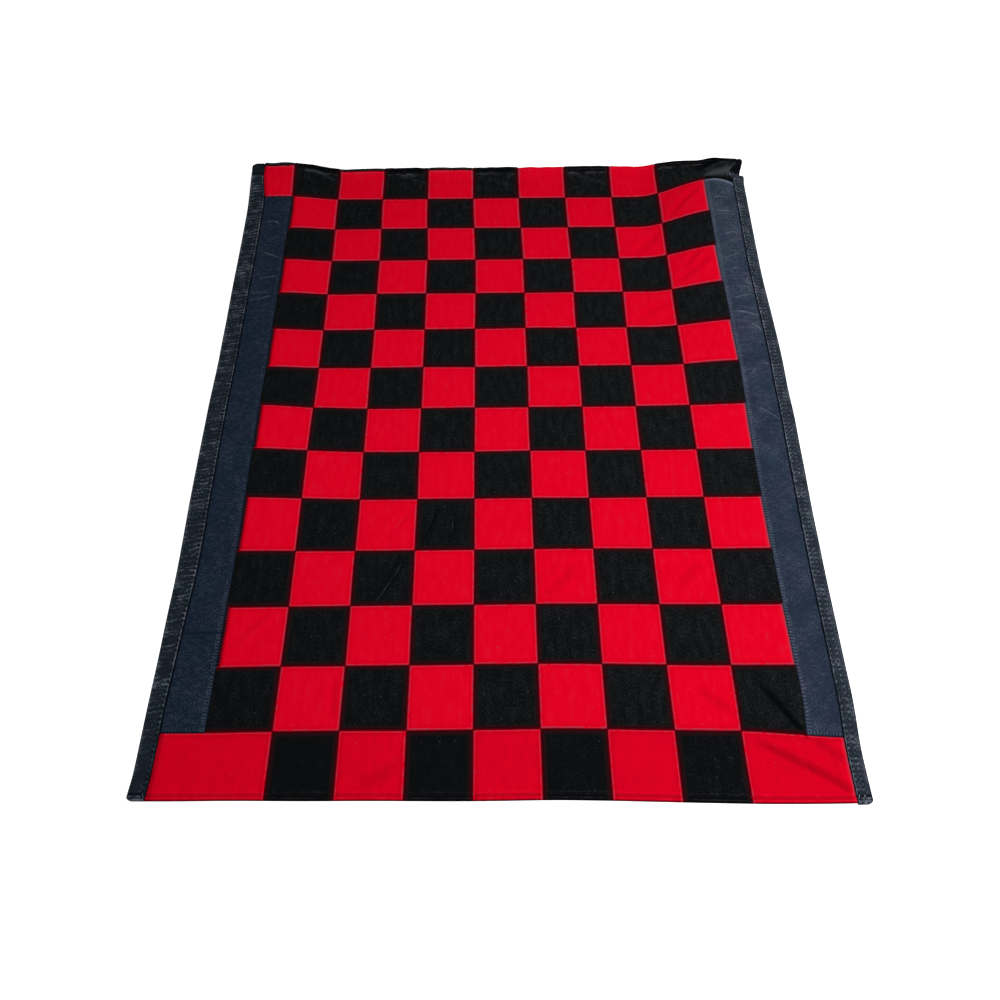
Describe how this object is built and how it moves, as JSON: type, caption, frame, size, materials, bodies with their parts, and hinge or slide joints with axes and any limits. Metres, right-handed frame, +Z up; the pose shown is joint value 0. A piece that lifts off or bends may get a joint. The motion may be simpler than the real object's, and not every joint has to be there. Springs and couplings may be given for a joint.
{
  "type": "patchwork flannel quilt",
  "caption": "Checked red and black flannel patchwork quilt with denim side panels and puckered edge bands, lying flat with one far corner lifted in a soft fold.",
  "frame": {"origin": "on the floor, at the middle of the quilt's outline", "axes": "+Z up from the floor, +Y along the length towards the lifted far end, +X across the width to the right"},
  "size_m": [1.4108, 1.79, 0.0629],
  "materials": {
    "flannel": "brushed cotton flannel, matt, red squares alternating with black ones",
    "denim_dark": "dark indigo cotton twill, matt, finely creased",
    "denim_faded": "faded indigo cotton twill, matt, finely creased",
    "band_dark": "dark washed denim, puckered and worn at the ridges",
    "band_faded": "washed denim, puckered and worn at the ridges"
  },
  "bodies": {
    "root": {"patchwork": "flannel", "left_panel": "denim_dark", "right_panel": "denim_faded", "left_band": "band_dark", "right_band": "band_faded"}
  },
  "joints": []
}
